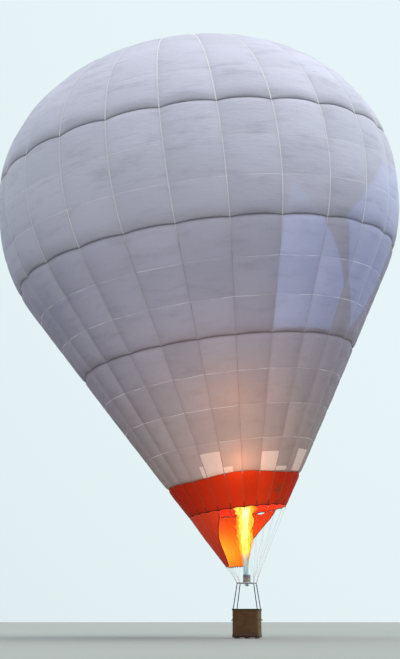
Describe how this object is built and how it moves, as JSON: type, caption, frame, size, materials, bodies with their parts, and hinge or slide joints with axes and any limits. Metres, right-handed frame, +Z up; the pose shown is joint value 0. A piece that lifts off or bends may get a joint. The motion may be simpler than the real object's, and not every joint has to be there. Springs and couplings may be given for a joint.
{
  "type": "hot air balloon",
  "caption": "Hot air balloon with a gored envelope, red scoop, gimballed double burner and woven basket.",
  "frame": {"origin": "the centre of lift: the centroid of the air inside the envelope, on the envelope's axis, 11.1 m above the mouth", "axes": "+Z up, -Y the basket's front and +X its right-hand side; the envelope leans 7.1 degrees towards -X over an upright basket"},
  "size_m": [15.9901, 15.9894, 23.5872],
  "materials": {
    "envelope_fabric": "coated ripstop, pale grey",
    "vent_fabric": "coated ripstop, pale grey",
    "red_fabric": "heat-resistant cloth, red",
    "scoop_fabric": "heat-resistant cloth, red",
    "hem_tape": "folded webbing, dark",
    "crown_ring": "turned",
    "wire_rope": "stainless strand",
    "karabiner": "polished",
    "frame_tube": "satin stainless",
    "burner_block": "machined, heat-stained",
    "burner_can": "heat-tinted stainless",
    "burner_coil": "heat-blued stainless",
    "handle_grip": "moulded grip",
    "upright_cover": "padded hide sleeve",
    "wicker": "woven willow and cane",
    "floor_board": "varnished ply",
    "rim_hide": "laced suede over foam",
    "base_hide": "raw hide",
    "runner_wood": "scuffed ash",
    "rope": "twisted natural rope",
    "gas_cylinder": "brushed, scuffed"
  },
  "bodies": {
    "balloon": {"envelope_crown": "envelope_fabric", "envelope_upper": "envelope_fabric", "envelope_middle": "envelope_fabric", "envelope_lower": "envelope_fabric", "mouth_band": "red_fabric", "scoop": "scoop_fabric", "mouth_hem": "hem_tape", "crown_ring": "crown_ring", "flying_wires_front_right": "wire_rope", "flying_wires_back_right": "wire_rope", "flying_wires_back_left": "wire_rope", "flying_wires_front_left": "wire_rope", "karabiner_front_right": "karabiner", "karabiner_back_right": "karabiner", "karabiner_back_left": "karabiner", "karabiner_front_left": "karabiner", "burner_frame": "frame_tube", "upright_front_right": "upright_cover", "upright_back_right": "upright_cover", "upright_back_left": "upright_cover", "upright_front_left": "upright_cover", "basket_wickerwork": "wicker", "basket_floor": "floor_board", "rim_padding": "rim_hide", "base_trim": "base_hide", "runner_left": "runner_wood", "runner_middle": "runner_wood", "runner_right": "runner_wood", "rope_handle_front_right": "rope", "rope_handle_back_right": "rope", "rope_handle_back_left": "rope", "rope_handle_front_left": "rope", "gas_cylinder_front_right": "gas_cylinder", "gas_cylinder_back_right": "gas_cylinder", "gas_cylinder_back_left": "gas_cylinder", "gas_cylinder_front_left": "gas_cylinder"},
    "vent": {"parachute_vent": "vent_fabric"},
    "gimbal": {"gimbal_ring": "frame_tube"},
    "burner": {"burner_block": "burner_block", "burner_can_front": "burner_can", "burner_can_rear": "burner_can", "burner_coil_front": "burner_coil", "burner_coil_rear": "burner_coil", "blast_handle_front": "handle_grip", "blast_handle_rear": "handle_grip"}
  },
  "joints": [
    {"name": "parachute_slide", "type": "slide", "parent": "balloon", "child": "vent", "axis": [0.1236, 0, -0.9923], "range_m": [0, 1.2]},
    {"name": "gimbal_tilt", "type": "hinge", "parent": "balloon", "child": "gimbal", "pos_m": [1.7083, 0, -13.71502], "axis": [1, 0, 0], "range_deg": [-12, 12]},
    {"name": "burner_tilt", "type": "hinge", "parent": "gimbal", "child": "burner", "pos_m": [1.7083, 0, -13.71502], "axis": [0, 1, 0], "range_deg": [-12, 12]}
  ]
}
